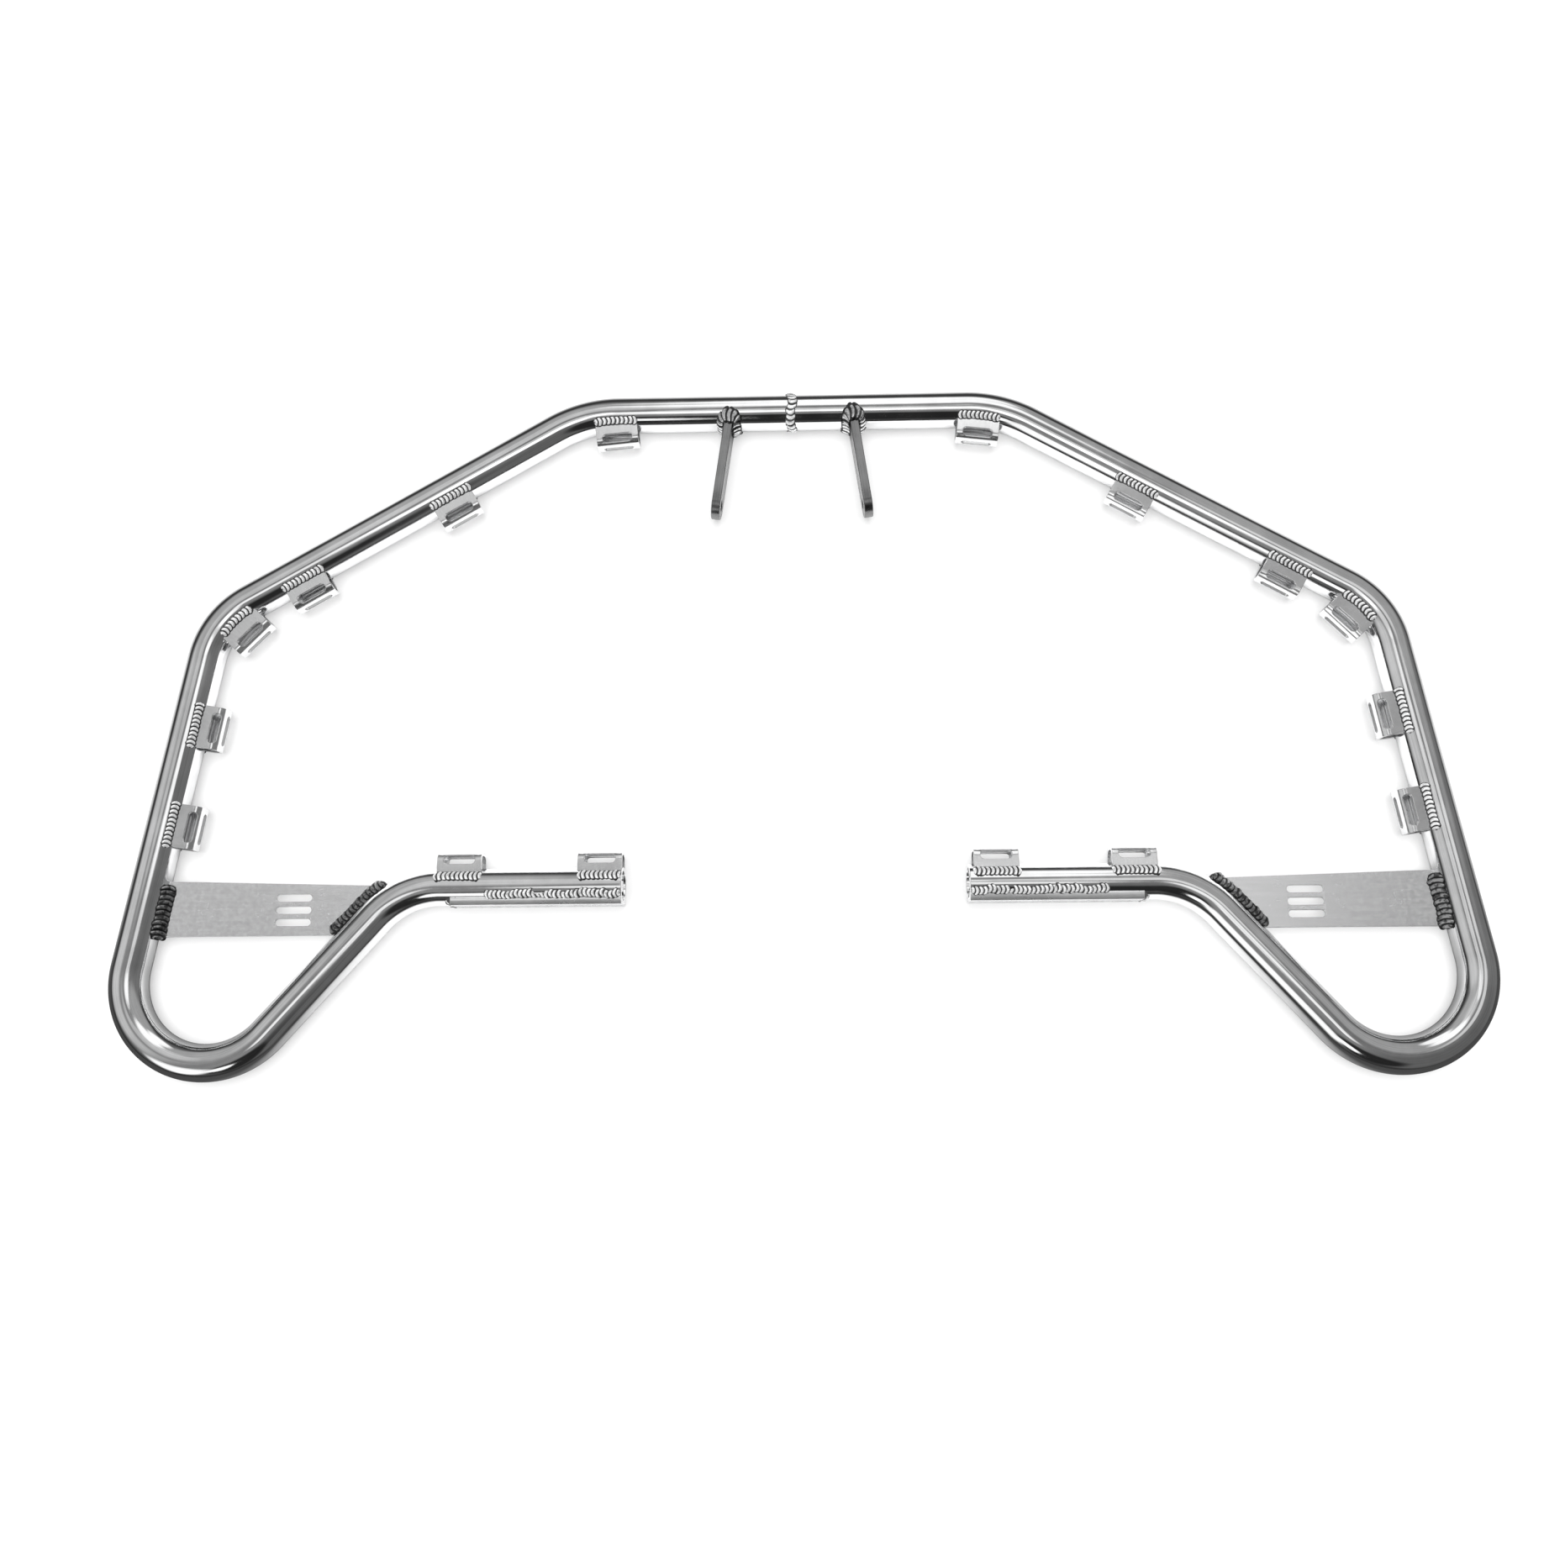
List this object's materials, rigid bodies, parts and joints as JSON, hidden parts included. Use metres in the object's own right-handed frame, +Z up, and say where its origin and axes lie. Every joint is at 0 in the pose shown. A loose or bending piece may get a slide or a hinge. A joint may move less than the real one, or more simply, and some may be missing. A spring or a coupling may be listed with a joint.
{
  "type": "quad bike foot-well side bar",
  "caption": "Flat welded aluminium tube frame with a wide foot-well opening, slotted net tabs round its inside, louvred heel plates, splayed mounting prongs and mounting rails.",
  "frame": {"origin": "centre of the bounding box, on the surface that the tubes lie on", "axes": "+X along the long side, +Y from the heel loops towards the straight top run, +Z up out of the frame's plane"},
  "size_m": [1.1676, 0.6141, 0.0331],
  "materials": {
    "polished_tube": "polished",
    "net_tab": "satin",
    "weld_bead": "satin",
    "dark_weld_bead": "matte",
    "heel_plate": "brushed",
    "prong": "brushed",
    "mounting_rail": "satin"
  },
  "bodies": {
    "root": {"tube_left": "polished_tube", "tube_right": "polished_tube", "weld_centre": "weld_bead", "weld_tab_top_left": "weld_bead", "weld_tab_slant_near_left": "weld_bead", "weld_tab_slant_far_left": "weld_bead", "weld_tab_corner_left": "weld_bead", "weld_tab_side_upper_left": "weld_bead", "weld_tab_side_lower_left": "weld_bead", "weld_tab_end_outer_left": "weld_bead", "weld_tab_end_inner_left": "weld_bead", "weld_tab_top_right": "weld_bead", "weld_tab_slant_near_right": "weld_bead", "weld_tab_slant_far_right": "weld_bead", "weld_tab_corner_right": "weld_bead", "weld_tab_side_upper_right": "weld_bead", "weld_tab_side_lower_right": "weld_bead", "weld_tab_end_outer_right": "weld_bead", "weld_tab_end_inner_right": "weld_bead", "weld_rail_left": "weld_bead", "weld_rail_right": "weld_bead", "weld_prong_left": "weld_bead", "weld_prong_right": "weld_bead", "weld_plate_side_left": "dark_weld_bead", "weld_plate_side_right": "dark_weld_bead", "weld_plate_diagonal_left": "dark_weld_bead", "weld_plate_diagonal_right": "dark_weld_bead", "tab_top_left": "net_tab", "tab_slant_near_left": "net_tab", "tab_slant_far_left": "net_tab", "tab_corner_left": "net_tab", "tab_side_upper_left": "net_tab", "tab_side_lower_left": "net_tab", "tab_end_outer_left": "net_tab", "tab_end_inner_left": "net_tab", "tab_top_right": "net_tab", "tab_slant_near_right": "net_tab", "tab_slant_far_right": "net_tab", "tab_corner_right": "net_tab", "tab_side_upper_right": "net_tab", "tab_side_lower_right": "net_tab", "tab_end_outer_right": "net_tab", "tab_end_inner_right": "net_tab", "heel_plate_left": "heel_plate", "prong_left": "prong", "mounting_rail_left": "mounting_rail", "heel_plate_right": "heel_plate", "prong_right": "prong", "mounting_rail_right": "mounting_rail"}
  },
  "joints": []
}
